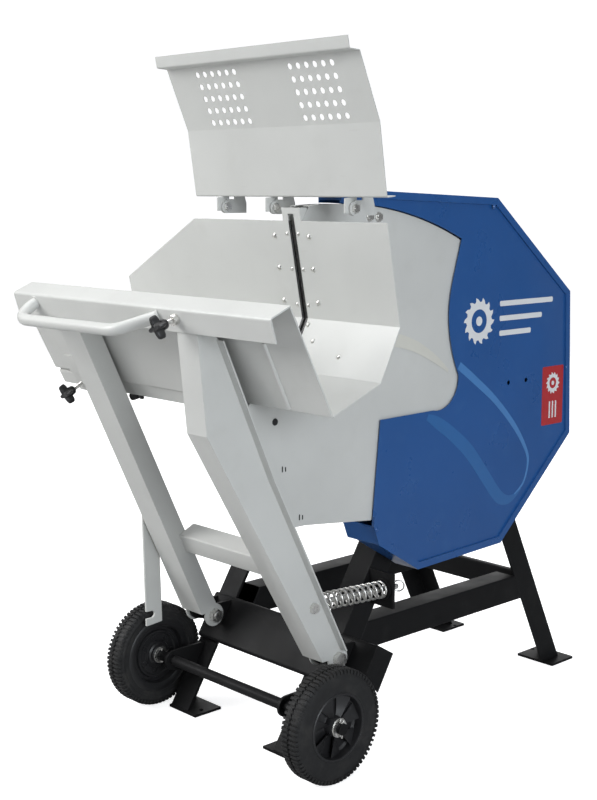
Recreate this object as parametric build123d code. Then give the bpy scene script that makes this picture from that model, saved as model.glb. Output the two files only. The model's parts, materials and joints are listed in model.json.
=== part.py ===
from build123d import *
import math
import os

# Rocking-cradle circular log saw. Millimetres, +Z up, floor at Z = 0.
# +X runs along the log bed, +Y runs from the operator towards the blade.
# The origin is on the floor, midway between the four anchor holes of the feet.
# Points written as (Y, Z) lie in a cross-section; a pair named x is a low and a high X.
os.makedirs("parts", exist_ok=True)

# ---- driving dimensions -------------------------------------------------------------------
BLADE_RADIUS = 252.5
BLADE_TEETH = 44
BLADE_THICKNESS = 2.6
BLADE_X = 196.0
ARBOR_HOLE = 15.0
ARBOR = (-24.0, 645.0)
ROCK_ANGLE = 28.0
PIVOT = (-340.0, 188.0)
FLAP_AXIS = (-406.0, 962.0)
AXLE = (-402.0, 100.0)
RUNNING_GAP = 0.05

WHEEL_RADIUS = 100.0
RIM_RADIUS = 60.0
AXLE_RADIUS = 10.0
WHEEL_X = {"left": (-237.0, -198.0), "right": (256.0, 295.0)}

SHEET = 2.5
THIN = 1.5
TUBE = 50.0
TUBE_WALL = 2.5
ANGLE_WALL = 4.0
LEG_X = 148.0
FRONT_LEG = ((-369.8, 0.0), (-59.8, 500.0))
REAR_LEG = ((353.0, 0.0), (108.1, 500.0))
SIDE_RAIL_Z = (160.0, 212.0)
TOP_RAIL_Z = (500.0, 550.0)
MOTOR_PLATE_TOP = 556.0
ANCHOR_X = 110.0
ANCHOR_Y = 372.0
ANCHOR_HOLE = 4.5
FOOT = 5.0

BED_X = (-284.0, 410.0)
BACK_TOP = (-419.0, 941.0)
BACK_FOLD = (-388.0, 781.0)
FLOOR_BACK = (-430.0, 698.0)
FLOOR_FRONT = (-531.5, 658.0)
WALL_TOP = (-618.0, 828.5)
BEAM_FRONT_TOP = (-657.0, 812.0)
BEAM_FRONT_BOTTOM = (-646.0, 775.0)
CHAMFER_X = -54.0
CHAMFER_Z = 828.0
BED = [BACK_TOP, BACK_FOLD, FLOOR_BACK, FLOOR_FRONT]
SLOT_X = (189.0, 203.0)
SLOT_MARGIN = 5.0
CAP_X = (176.0, 219.0)
LINER_GAP = 2.6

ARM_WALL = 3.0
LEFT_ARM_X = (-167.0, -107.0)
RIGHT_ARM_X = (179.0, 229.0)
LEFT_ARM_FRONT = [(-641.0, 776.0), (-370.0, 194.0)]
LEFT_ARM_BACK = [(-329.0, 196.0), (-599.7, 776.0)]
RIGHT_ARM_FRONT = [(-643.0, 776.0), (-626.0, 614.0), (-377.0, 190.0)]
RIGHT_ARM_BACK = [(-324.0, 190.0), (-497.0, 529.0), (-608.0, 776.0)]
PIVOT_BOLT = 8.0
EAR_PLATES = [(-160.0, -154.0), (-120.0, -114.0), (186.0, 192.0), (216.0, 222.0)]

CHEEK_X = {"left": (176.0, 177.5), "right": (218.5, 220.0)}
CHEEK_RADIUS = 780.0
CHEEK_FRONT_ANGLE = -4.5
CHEEK_BACK_ANGLE = 26.5
CASING_X = (173.0, 225.0)
CASING_BAND_X = 229.0
CASING_BAND = 13.0
LIP_X = 150.0
NOSE_RADIUS = 781.5
CASING = [(-253, 408), (-239, 372), (-136, 308), (102, 315), (316, 506), (304, 792), (71, 976), (-336, 993)]

ROD_X = 208.0
ROD_EYE = (-399.0, 292.0)
ROD_GUIDE = (-202.0, 281.0)
ROD_RADIUS = 5.0
FLAP_X = (-54.0, 405.0)
FLAP_PROFILE = [(-396, 981), (-415, 979), (-432, 1091), (-476, 1192), (-497, 1193), (-501, 1212)]
FLAP_STATIONS = [16.0, 141.0, 325.0]


# ---- building blocks ----------------------------------------------------------------------
def save(name, *shapes):
    """Write one node; its pieces stay separate solids."""
    solids = [solid for shape in shapes for solid in shape.solids()]
    export_step(solids[0] if len(solids) == 1 else Compound(children=solids), f"parts/{name}.step")


def block(x, y, z):
    size = (x[1] - x[0], y[1] - y[0], z[1] - z[0])
    return Pos((x[0] + x[1]) / 2, (y[0] + y[1]) / 2, (z[0] + z[1]) / 2) * Box(*size)


def slab(lines, x):
    """Closed outline drawn in (Y, Z) and given a width along X."""
    face = Plane.YZ.offset(x[0]) * make_face(lines)
    return extrude(face, x[1] - x[0], dir=(1, 0, 0))


def prism(points, x):
    return slab(Polyline(*points, close=True), x)


def rod(start, end, radius):
    axis = Vector(*end) - Vector(*start)
    return extrude(Plane(origin=start, z_dir=axis) * Circle(radius), axis.length)


def rod_x(centre, radius, x):
    return rod((x[0], *centre), (x[1], *centre), radius)


def ring_x(centre, outer, inner, x):
    return rod_x(centre, outer, x) - rod_x(centre, inner, x)


def hexagon_x(centre, flats, x):
    corners = [math.radians(60 * i + 30) for i in range(6)]
    reach = flats / math.sqrt(3)
    return prism([(centre[0] + reach * math.cos(a), centre[1] + reach * math.sin(a)) for a in corners], x)


def nut_x(centre, flats, hole, x):
    return hexagon_x(centre, flats, x) - rod_x(centre, hole, x)


def dome(place, normal, radius, height):
    """Domed screw head standing on a surface."""
    ball_radius = (radius**2 + height**2) / (2 * height)
    ball = Pos(0, 0, height - ball_radius) * Sphere(ball_radius)
    cap = ball & (Pos(0, 0, height) * Box(4 * radius, 4 * radius, 2 * height))
    return Plane(origin=place, z_dir=normal) * cap


def from_pivot(radius, degrees):
    """Point at a radius from the rocking axis; the angle is counted from upright towards +Y."""
    turn = math.radians(degrees)
    return (PIVOT[0] + radius * math.sin(turn), PIVOT[1] + radius * math.cos(turn))


def arc_about_pivot(radius, start, end):
    middle = (start + end) / 2
    return ThreePointArc(from_pivot(radius, start), from_pivot(radius, middle), from_pivot(radius, end))


def arc_band(inner, outer, start, end, x):
    """Strip of sheet rolled about the rocking axis."""
    lines = arc_about_pivot(outer, start, end) + Line(from_pivot(outer, end), from_pivot(inner, end))
    lines += arc_about_pivot(inner, end, start) + Line(from_pivot(inner, start), from_pivot(outer, start))
    return slab(lines, x)


def offset_path(points, distance):
    """An open (Y, Z) path moved to its left, with mitred corners."""
    normals = []
    for (y0, z0), (y1, z1) in zip(points, points[1:]):
        length = math.hypot(y1 - y0, z1 - z0)
        normals.append((-(z1 - z0) / length, (y1 - y0) / length))
    sides = list(zip([normals[0]] + normals, normals + [normals[-1]]))
    moved = []
    for (y, z), (a, b) in zip(points, sides):
        share = distance / (1 + a[0] * b[0] + a[1] * b[1])
        moved.append((y + (a[0] + b[0]) * share, z + (a[1] + b[1]) * share))
    return moved


def edge_at(solid, place):
    return min(solid.edges().filter_by(Axis.X), key=lambda e: math.dist(place, (e.center().Y, e.center().Z)))


def folded(points, x, thickness=SHEET, bend=3.0, shift=0.0):
    """Sheet folded along an open (Y, Z) path; its thickness lies to the left of the path."""
    right = offset_path(points, shift)
    left = offset_path(points, shift + thickness)
    sheet = prism(right + left[::-1], x)
    for i in range(1, len(points) - 1):
        (y0, z0), (y1, z1), (y2, z2) = points[i - 1 : i + 2]
        left_turn = (y1 - y0) * (z2 - z1) > (z1 - z0) * (y2 - y1)
        sheet = fillet(edge_at(sheet, right[i]), bend + thickness if left_turn else bend)
        sheet = fillet(edge_at(sheet, left[i]), bend if left_turn else bend + thickness)
    return sheet


def along(line, z):
    """Y on a straight (Y, Z) line at height z."""
    (y0, z0), (y1, z1) = line
    return y0 + (y1 - y0) * (z - z0) / (z1 - z0)


def outside(line, z, distance):
    """Point at height z on a line, moved to the line's left."""
    direction = unit(*line)
    return (along(line, z) - direction[1] * distance, z + direction[0] * distance)


def unit(start, end):
    length = math.dist(start, end)
    return ((end[0] - start[0]) / length, (end[1] - start[1]) / length)


# ---- stand --------------------------------------------------------------------------------
def leg_width(line, size):
    """Horizontal width of a leaning square tube."""
    slope = (line[1][0] - line[0][0]) / (line[1][1] - line[0][1])
    return size * math.sqrt(1 + slope**2)


def leg(side, line, rear):
    """Leaning angle iron with its corner outwards; one flange faces sideways, one front or rear."""
    half = leg_width(line, TUBE) / 2
    wall = leg_width(line, ANGLE_WALL)
    bottom, top = FOOT, TOP_RAIL_Z[0]
    low, high = along(line, bottom), along(line, top)
    edge = (half - wall, half) if rear else (-half, wall - half)
    outer = side * (LEG_X + TUBE / 2)
    flanges = []
    for near, far, inner in ((-half, half, outer - side * ANGLE_WALL), (*edge, outer - side * TUBE)):
        corners = [(low + near, bottom), (low + far, bottom), (high + far, top), (high + near, top)]
        flanges.append(prism(corners, sorted((inner, outer))))
    return flanges[0] + flanges[1]


def square_tube(x, y, z):
    """Square tube that lies along Y."""
    core_x = (x[0] + TUBE_WALL, x[1] - TUBE_WALL)
    core_z = (z[0] + TUBE_WALL, z[1] - TUBE_WALL)
    return block(x, y, z) - block(core_x, y, core_z)


def side_rail(centre_x, z):
    """Rail between the front and the rear leg, its ends cut to the leaning flanges."""
    half = leg_width(FRONT_LEG, TUBE) / 2
    front = [(along(FRONT_LEG, level) + half, level) for level in z]
    half = leg_width(REAR_LEG, TUBE) / 2
    rear = [(along(REAR_LEG, level) - half, level) for level in z]
    x = (centre_x - TUBE / 2, centre_x + TUBE / 2)
    return square_tube(x, (-400, 400), z) & prism(front + rear[::-1], x)


def top_rail(centre_x):
    front = along(FRONT_LEG, TOP_RAIL_Z[0]) - leg_width(FRONT_LEG, TUBE) / 2
    rear = along(REAR_LEG, TOP_RAIL_Z[0]) + leg_width(REAR_LEG, TUBE) / 2
    return square_tube((centre_x - TUBE / 2, centre_x + TUBE / 2), (front, rear), TOP_RAIL_Z)


def rear_cross_rail():
    """Flat tube between the side flanges of the rear legs."""
    reach = LEG_X + TUBE / 2 - ANGLE_WALL
    y, z = (250.0, 266.0), (168.0, 213.0)
    core = block((-reach, reach), (y[0] + TUBE_WALL, y[1] - TUBE_WALL), (z[0] + TUBE_WALL, z[1] - TUBE_WALL))
    return block((-reach, reach), y, z) - core


def foot_plate(side, rear):
    inner, outer = (105.0, 196.0) if rear else (97.0, 176.0)
    y = (327.0, 399.0) if rear else (-398.0, -334.0)
    plate = block(sorted((side * inner, side * outer)), y, (0, FOOT))
    hole = (side * ANCHOR_X, ANCHOR_Y if rear else -ANCHOR_Y)
    return plate - rod((*hole, 0), (*hole, FOOT), ANCHOR_HOLE)


WEB_LOW = (-335.0, 133.0)
WEB_HIGH = (-287.0, 211.5)


def pivot_channel():
    """Folded channel in front of the front legs; its right end is relieved around the wheel."""
    path = [(-274.5, 203.9), WEB_HIGH, WEB_LOW, (-322.5, 125.4)]
    channel = folded(path, (-165.0, 273.0), 3.0)
    end_plate = prism([WEB_HIGH, (-247, 187), (-285, 125), (-316, 164.5)], (270.0, 273.0))
    return channel + end_plate - rod_x(AXLE, WHEEL_RADIUS + 7, (249.0, 274.0))


def pivot_ear(x):
    roots = [(PIVOT[0], PIVOT[1] + 18), (along((WEB_LOW, WEB_HIGH), 205), 205)]
    roots += [(along((WEB_LOW, WEB_HIGH), 163), 163), (PIVOT[0], PIVOT[1] - 18)]
    return rod_x(PIVOT, 18, x) + prism(roots, x) - rod_x(PIVOT, PIVOT_BOLT, x)


def pivot_bolt(shank, head, nut):
    bolt = rod_x(PIVOT, PIVOT_BOLT, shank) + hexagon_x(PIVOT, 24, head)
    return [bolt, nut_x(PIVOT, 24, PIVOT_BOLT, nut)]


def axle_bracket(x):
    """Plate from the front face of a leg to the wheel axle."""
    half = leg_width(FRONT_LEG, TUBE) / 2
    roots = [(along(FRONT_LEG, 70) - half, 70), (along(FRONT_LEG, 120) - half, 120)]
    roots += [(AXLE[0], AXLE[1] + 19), (AXLE[0], AXLE[1] - 19)]
    return rod_x(AXLE, 19, x) + prism(roots, x) - rod_x(AXLE, AXLE_RADIUS, x)


SEAT_RADIUS = 19.0


def spring_bracket():
    """Plate across the spring rod on the outer face of the right front leg, and the spring's seat."""
    y = (ROD_GUIDE[0] - 3, ROD_GUIDE[0] + 3)
    seat_y = (y[0] - 3, y[0])
    middle = (ROD_X, ROD_GUIDE[1])
    plate = block((LEG_X + TUBE / 2, 231), y, (248, 312)) - rod_slot(middle, y)
    seat = rod((middle[0], seat_y[0], middle[1]), (middle[0], seat_y[1], middle[1]), SEAT_RADIUS)
    return [plate, seat - rod_slot(middle, seat_y)]


def rod_slot(middle, y):
    """Upright slot that gives the rod room as its angle changes."""
    x, z = middle
    slot = block((x - 8, x + 8), y, (z - 4, z + 4))
    for end in (z - 4, z + 4):
        slot += rod((x, y[0], end), (x, y[1], end), 8)
    return slot


def build_stand():
    sides = (-LEG_X, LEG_X)
    legs = [leg(side, line, line == REAR_LEG) for side in (-1, 1) for line in (FRONT_LEG, REAR_LEG)]
    save("stand_legs", *legs)
    rails = [side_rail(x, SIDE_RAIL_Z) for x in sides] + [top_rail(x) for x in sides]
    save("stand_rails", *rails, rear_cross_rail())
    save("foot_plates", *[foot_plate(side, rear) for side in (-1, 1) for rear in (False, True)])
    save("pivot_channel", pivot_channel())
    save("pivot_ears", *[pivot_ear(x) for x in EAR_PLATES])
    left = pivot_bolt((-167.5, -94.5), (-173.5, -167.5), (-106.5, -96.5))
    right = pivot_bolt((168.5, 229.5), (229.5, 238.5), (169.0, 178.5))
    save("pivot_bolts", *left, *right)
    save("axle_brackets", axle_bracket((-160.0, -154.0)), axle_bracket((160.0, 166.0)))
    save("spring_bracket", *spring_bracket())


# ---- wheels -------------------------------------------------------------------------------
def tyre(x):
    """Tyre with rounded shoulders."""
    ring = ring_x(AXLE, WHEEL_RADIUS, RIM_RADIUS, x)
    circles = ring.edges().filter_by(GeomType.CIRCLE)
    return fillet(circles.group_by(lambda circle: round(circle.radius))[-1], 7)


def hub(x):
    """Plastic wheel centre: rim, web, six ribs and a hub barrel that turns on the axle."""
    middle = (x[0] + x[1]) / 2
    body = ring_x(AXLE, RIM_RADIUS, RIM_RADIUS - 6, x)
    body += ring_x(AXLE, RIM_RADIUS - 5, 15, (middle - 3, middle + 3))
    for i in range(6):
        spoke = block((x[0] + 6, x[1] - 6), (-2.5, 2.5), (14, RIM_RADIUS - 5))
        body += Pos(0, *AXLE) * Rot(60 * i, 0, 0) * spoke
    body += rod_x(AXLE, 18, x)
    return body - rod_x(AXLE, AXLE_RADIUS + RUNNING_GAP, x)


def split_pin(x):
    ring = Pos(x, AXLE[0], AXLE[1] + AXLE_RADIUS + 4) * Rot(0, 90, 0) * Torus(4, 1.2)
    return rod((x, AXLE[0], AXLE[1] - 16), (x, AXLE[0], AXLE[1] + AXLE_RADIUS + 1), 1.6) + ring


def build_wheels():
    axle = rod_x(AXLE, AXLE_RADIUS, (-248.0, 306.0))
    pins = [split_pin(-243.5), split_pin(301.5)]
    for pin in pins:
        axle -= pin
    save("axle", axle)
    washers = [ring_x(AXLE, 15, AXLE_RADIUS, x) for x in ((-240.0, -237.3), (295.3, 298.0))]
    save("axle_retainers", *pins, *washers)
    for side, x in WHEEL_X.items():
        save(f"tyre_{side}", tyre(x))
        save(f"hub_{side}", hub(x))


# ---- motor, arbor and blade ---------------------------------------------------------------
MOTOR_X = (-150.0, 110.0)
MOTOR_RADIUS = 72.0
FIN_RADIUS = 80.0
FINS = 40


def motor_body():
    """Finned motor frame on two cast feet."""
    points = []
    fin = ((0.0, MOTOR_RADIUS), (0.55, MOTOR_RADIUS), (0.6, FIN_RADIUS), (0.95, FIN_RADIUS))
    for i in range(FINS):
        for turn, radius in fin:
            angle = 2 * math.pi * (i + turn) / FINS
            points.append((ARBOR[0] + radius * math.cos(angle), ARBOR[1] + radius * math.sin(angle)))
    body = prism(points, MOTOR_X)
    for x in ((-125.0, -85.0), (45.0, 85.0)):
        body += block(x, (ARBOR[0] - 70, ARBOR[0] + 70), (MOTOR_PLATE_TOP, MOTOR_PLATE_TOP + 14))
        body += block(x, (ARBOR[0] - 45, ARBOR[0] + 45), (MOTOR_PLATE_TOP, 600))
    return body


def fan_cover():
    x = (-205.0, MOTOR_X[0])
    cover = rod_x(ARBOR, FIN_RADIUS + 3, x) - rod_x(ARBOR, FIN_RADIUS + 1, (x[0] + 2, x[1]))
    cover = fillet(cover.edges().filter_by(GeomType.CIRCLE).sort_by(Axis.X)[0], 8)
    for radius in (22, 36, 50, 64):
        cover -= ring_x(ARBOR, radius + 4, radius - 4, (x[0] - 1, x[0] + 3)) - spokes(x[0])
    return cover


def spokes(x):
    bars = block((x - 1, x + 3), (-3, 3), (-90, 90)) + block((x - 1, x + 3), (-90, 90), (-3, 3))
    return Pos(0, *ARBOR) * bars


def end_bell():
    bell = rod_x(ARBOR, 74, (110.0, 118.0)) + rod_x(ARBOR, 40, (118.0, 128.0))
    return bell - rod_x(ARBOR, 14 + RUNNING_GAP, (110.0, 128.0))


def blade():
    """Plain blade body with raked teeth."""
    points = []
    tooth = ((0.0, 0.0), (0.22, 2.0), (0.5, 9.0), (0.8, 11.0), (0.98, 9.0))
    for i in range(BLADE_TEETH):
        for turn, drop in tooth:
            angle = 2 * math.pi * (i + turn) / BLADE_TEETH
            radius = BLADE_RADIUS - drop
            points.append((ARBOR[0] + radius * math.cos(angle), ARBOR[1] + radius * math.sin(angle)))
    x = (BLADE_X - BLADE_THICKNESS / 2, BLADE_X + BLADE_THICKNESS / 2)
    return prism(points, x) - rod_x(ARBOR, ARBOR_HOLE, x)


def build_drive():
    save("motor_plate", block((-173, 173), (-89, 103), (550, MOTOR_PLATE_TOP)))
    save("motor_body", motor_body())
    save("motor_fan_cover", fan_cover())
    save("motor_end_bell", end_bell())
    box = block((-60.0, 40.0), (-30, 48), (ARBOR[1] + FIN_RADIUS, ARBOR[1] + FIN_RADIUS + 48))
    save("motor_terminal_box", fillet(box.edges().filter_by(Axis.Z), 6))
    bolts = []
    for x in (-105.0, 65.0):
        for y in (ARBOR[0] - 59, ARBOR[0] + 59):
            bolts.append(Pos(x, y, MOTOR_PLATE_TOP + 14) * extrude(RegularPolygon(8, 6), 6))
    save("motor_bolts", *bolts)
    shaft = rod_x(ARBOR, 14, (112.0, 186.0)) + rod_x(ARBOR, 45, (184.0, BLADE_X - BLADE_THICKNESS / 2))
    shaft += rod_x(ARBOR, 15, (190.0, 202.0)) + rod_x(ARBOR, 10, (200.0, 216.0))
    save("arbor_shaft", shaft)
    save("saw_blade", blade())
    flange = ring_x(ARBOR, 45, 15, (BLADE_X + BLADE_THICKNESS / 2, 202.0))
    save("blade_flange", flange + ring_x(ARBOR, 30, 10, (202, 205)))
    save("blade_nut", nut_x(ARBOR, 30, 10, (205.0, 215.0)))


# ---- fixed blade casing -------------------------------------------------------------------
CUTOUT_CORNER = [(-95.0, 596.0), (-42.0, 612.0), (-27.0, 655.0)]
CUTOUT_WAIST = [(-27.0, 655.0), (-52.0, 725.0), (-56.0, 783.0), (-43.0, 843.0)]


def casing_outline():
    """Casing face: the octagon without the opening that the cradle swings into."""
    end = math.degrees(math.asin((-25.0 - PIVOT[0]) / NOSE_RADIUS))
    nose = math.degrees(math.asin((CASING[-1][0] - PIVOT[0]) / NOSE_RADIUS))
    lines = Polyline(*CASING, from_pivot(NOSE_RADIUS, nose))
    lines += arc_about_pivot(NOSE_RADIUS, nose, end)
    lines += Spline(from_pivot(NOSE_RADIUS, end), *CUTOUT_WAIST[::-1])
    lines += ThreePointArc(*CUTOUT_CORNER[::-1])
    lines += Polyline(CUTOUT_CORNER[0], (-234.0, 595.0), CASING[0])
    return lines


def casing_lip():
    """Wider strip of rim along the casing's lower front edge."""
    return folded(CASING[:2], (LIP_X, CASING_X[0] + THIN), THIN)


def casing_cover():
    """Outer face with a raised band along its edge, and the rim walls behind it."""
    face = slab(casing_outline(), (CASING_X[1] - THIN, CASING_X[1]))
    for z in (120.0, 174.0):
        face -= rod_x((z, 626.0), 4.5, (CASING_X[1] - THIN, CASING_X[1]))
    rim = folded(CASING, (CASING_X[0] + THIN, CASING_BAND_X), THIN, 4.0)
    nose_wall = block((CASING_X[0] + THIN, CASING_BAND_X), (-336, -336 + THIN), (974.0, 993.0))
    whole = prism(CASING, (CASING_X[1], CASING_BAND_X))
    band_inner = offset_path(CASING, CASING_BAND)
    band = whole - prism(band_inner + [(-340, 900), (-400, 600)], (CASING_X[1], CASING_BAND_X))
    band &= slab(casing_outline(), (CASING_X[1], CASING_BAND_X))
    return face + rim + casing_lip() + nose_wall + band


def casing_back():
    """Inner plate of the casing, open around the motor shaft."""
    x = (CASING_X[0], CASING_X[0] + THIN)
    return slab(casing_outline(), x) - rod_x(ARBOR, 60, x) - casing_lip()


def flap_carrier():
    """Angle bar across the machine with three hinge ears, bolted to the casing's nose."""
    carrier = folded([(-368, 1004), (-390, 1004), (-390, 984)], (4.0, 340.0), 3.0, 1.0)
    carrier += block((180.0, 222.0), (-387.0, -260.0), (993.0, 996.0))
    for station in FLAP_STATIONS:
        carrier += carrier_ear(station)
    return carrier


def carrier_ear(station):
    x = (station + 0.5, station + 3.5)
    plate = [(-406, 975), (-388, 975), (-388, 1001), (-373, 1001), (-362, 968), (-362, 951), (-404, 951)]
    ear = rod_x(FLAP_AXIS, 11, x) + prism(plate, x)
    return ear - rod_x(FLAP_AXIS, 4, x)


def build_casing():
    save("casing_cover", casing_cover())
    save("casing_back", casing_back())
    places = [((-246.0, 402.0), 4.5), ((300.0, 640.0), 4.5), ((60.0, 960.0), 4.5)]
    save("casing_screws", *[dome((CASING_BAND_X, *p), (1, 0, 0), r, 2.5) for p, r in places])
    save("flap_carrier", flap_carrier())
    bolts = []
    for station in FLAP_STATIONS:
        shank = rod_x(FLAP_AXIS, 4, (station - 4.0, station + 9.0))
        bolts += [shank + hexagon_x(FLAP_AXIS, 13, (station - 9.0, station - 4.0))]
        bolts += [nut_x(FLAP_AXIS, 13, 4, (station + 3.5, station + 8.5))]
    save("flap_hinge_bolts", *bolts)


# ---- view flap ----------------------------------------------------------------------------
def flap_panel():
    """Folded flap with two fields of viewing holes in its upper half."""
    panel = folded(FLAP_PROFILE, FLAP_X, THIN, 2.0, -THIN)
    low, high = FLAP_PROFILE[2], FLAP_PROFILE[3]
    normal = unit(low, high)
    for first in (22.0, 248.0):
        for row in range(5):
            share = 0.11 + 0.19 * row
            y = low[0] + (high[0] - low[0]) * share
            z = low[1] + (high[1] - low[1]) * share
            for column in range(6):
                x = first + 18.6 * column
                start = (x, y - 6 * normal[1], z + 6 * normal[0])
                end = (x, y + 6 * normal[1], z - 6 * normal[0])
                panel -= rod(start, end, 5)
    return panel


def flap_ear(station):
    x = (station - 3.0, station)
    ear = rod_x(FLAP_AXIS, 11, x) + prism([(-424, 955), (-424, 978), (-398, 980), (-398, 955)], x)
    return ear - rod_x(FLAP_AXIS, 4 + RUNNING_GAP, x)


def build_flap():
    save("view_flap", flap_panel())
    save("view_flap_ears", *[flap_ear(station) for station in FLAP_STATIONS])


# ---- cradle -------------------------------------------------------------------------------
def blade_in_cradle():
    """(Y, Z) of the arbor seen from the cradle when it is rocked fully in."""
    reach = math.dist(PIVOT, ARBOR)
    angle = math.degrees(math.atan2(ARBOR[0] - PIVOT[0], ARBOR[1] - PIVOT[1]))
    return from_pivot(reach, angle - ROCK_ANGLE)


def slot_room(x):
    return rod_x(blade_in_cradle(), BLADE_RADIUS + SLOT_MARGIN, x)


def slot_cap():
    """Tab that stands above the back wall and bridges the top of the slot."""
    wall = (BACK_TOP, BACK_FOLD)
    return folded([(along(wall, z), z) for z in (962.0, 930.0)], CAP_X)


def bed_back():
    """Back wall and floor of the log bed, with the blade slot and a chamfered left corner."""
    panel = folded(BED, BED_X)
    edge = BED_X[0] - 1
    corner = Polyline((CHAMFER_X, 942), (edge, CHAMFER_Z), (edge, 960), (CHAMFER_X, 960), close=True)
    wedge = extrude(Plane.XZ.offset(450) * make_face(corner), 100, dir=(0, 1, 0))
    return panel - wedge + slot_cap() - slot_room(SLOT_X)


def bed_front():
    """Front wall of the log bed; its top edge ends under the beam's top plate."""
    z = WALL_TOP[1] - SHEET - 0.5
    wall = folded([FLOOR_FRONT, (along((FLOOR_FRONT, WALL_TOP), z), z)], BED_X)
    bead = [outside((FLOOR_FRONT, WALL_TOP), z, SHEET) for z in (661.0, 766.0)]
    return wall + rod((318.0, *bead[0]), (320.0, *bead[1]), 3.5)


def beam():
    """Folded beam along the top of the front wall, open at both ends and below."""
    return folded([WALL_TOP, BEAM_FRONT_TOP, BEAM_FRONT_BOTTOM], (-272.0, 410.0))


def arm(front, back, x, ear_radius):
    """Channel-shaped arm, open towards the blade, with a rounded ear around the rocking axis."""
    inner_x = (x[0] + ARM_WALL, x[1] - ARM_WALL)
    body = prism(front + back, x) + rod_x(PIVOT, ear_radius, x)
    inner_front = offset_path(front, ARM_WALL)
    top = (inner_front[0][0], front[0][1] + 5)
    far = [(back[0][0] + 40, back[0][1] - 60), (back[-1][0] + 60, back[-1][1] + 5)]
    body -= prism([top] + inner_front + [(inner_front[-1][0], 100)] + far, inner_x)
    body -= block(inner_x, (-420, -300), (100, front[-1][1]))
    return body - rod_x(PIVOT, PIVOT_BOLT + RUNNING_GAP, x)


def right_arm():
    """Right arm with a lip turned outwards along its rear edge."""
    edge = [(along(RIGHT_ARM_BACK[:2], 205), 205), RIGHT_ARM_BACK[1], (along(RIGHT_ARM_BACK[1:], 764), 764)]
    lip = prism(edge + offset_path(edge, ARM_WALL)[::-1], (RIGHT_ARM_X[1], RIGHT_ARM_X[1] + 15))
    return arm(RIGHT_ARM_FRONT, RIGHT_ARM_BACK, RIGHT_ARM_X, 23) + lip - rod_x(ROD_EYE, 5, RIGHT_ARM_X)


def cross_tube():
    tube = Box(286, 40, 40) - Box(286, 35, 35)
    return Pos(36.0, -396.0, 350.0) * Rot(25, 0, 0) * tube


def cheek_outline():
    under = offset_path(BED, SHEET + 0.3)
    lines = arc_about_pivot(CHEEK_RADIUS, CHEEK_FRONT_ANGLE, CHEEK_BACK_ANGLE)
    start, end = from_pivot(CHEEK_RADIUS, CHEEK_FRONT_ANGLE), from_pivot(CHEEK_RADIUS, CHEEK_BACK_ANGLE)
    back = [end, (0.0, 870.0), (0.0, 590.0), (-200.0, 443.0), (-252.0, 418.0), (-409.0, 436.0)]
    return lines + Polyline(*back, (-458.0, 437.0), (-546.0, 632.0), *under[::-1], start)


def cheek(side, flange_x, tab_x):
    """Side plate of the moving guard with a rolled top flange and a tab behind the back wall."""
    body = slab(cheek_outline(), CHEEK_X[side])
    body += arc_band(CHEEK_RADIUS - THIN, CHEEK_RADIUS, CHEEK_FRONT_ANGLE, CHEEK_BACK_ANGLE, flange_x)
    tab = folded([(-413.0, 925.0), (-388.0, 796.0)], tab_x, THIN, 2.0, SHEET + 1.0)
    return body + tab


def left_cheek():
    """The left side plate also has an open slot that lets it swing past the arbor."""
    body = cheek("left", (CHEEK_X["left"][1], 187.0), (145.0, CHEEK_X["left"][0]))
    reach = math.dist(PIVOT, ARBOR)
    x = (CHEEK_X["left"][0] - 1, CHEEK_X["left"][1] + 1)
    body -= arc_band(reach - 20, reach + 20, 3.5, 45.0, x)
    return body


def slot_liner():
    """Dark wear strips on both sides of the slot."""
    strips = folded(BED, SLOT_X) & slot_room(SLOT_X)
    return strips - block((BLADE_X - LINER_GAP, BLADE_X + LINER_GAP), (-700, -300), (500, 1000))


def bed_rivets():
    """Domed screws around the slot, on the log side of the bed."""
    wall = unit(BACK_TOP, BACK_FOLD)
    lower = unit(BACK_FOLD, FLOOR_BACK)
    heads = []
    for x, rows, radius in ((151, (916, 863, 808), 5), (233, (916, 863, 808), 5)):
        heads += [bed_head(x, z, (BACK_TOP, BACK_FOLD), wall, radius) for z in rows]
    for x in (182.0, 209.0):
        heads += [bed_head(x, z, (BACK_TOP, BACK_FOLD), wall, 3.5) for z in (920, 862, 803)]
    for x, z in ((209, 771), (233, 747), (303, 728)):
        heads.append(bed_head(x, z, (BACK_FOLD, FLOOR_BACK), lower, 4.5))
    return heads


def bed_head(x, z, line, direction, radius):
    return dome((x, along(line, z), z), (0, direction[1], -direction[0]), radius, radius * 0.55)


def handle():
    points = [(-207, -640, 803), (-207, -697, 772), (118, -697, 775), (172, -640, 803)]
    path = FilletPolyline(*points, radius=22)
    tube = sweep(Plane(origin=path @ 0, z_dir=path % 0) * Circle(10), path=path)
    into_beam = unit(BEAM_FRONT_TOP, BEAM_FRONT_BOTTOM)
    high = (BEAM_FRONT_TOP[0] - 60 * into_beam[0], BEAM_FRONT_TOP[1] - 60 * into_beam[1])
    low = (BEAM_FRONT_TOP[0] + 90 * into_beam[0], BEAM_FRONT_TOP[1] + 90 * into_beam[1])
    return tube - prism([high, low, (-560, low[1]), (-560, high[1])], (-300, 300))


FRONT_WALL = (FLOOR_FRONT, WALL_TOP)
BEAM_FRONT = (BEAM_FRONT_TOP, BEAM_FRONT_BOTTOM)
FLOOR = (FLOOR_BACK, FLOOR_FRONT)
STRAP_THICKNESS = 3.0
RAIL_GAP = 1.0
STUD = 4.0


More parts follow.
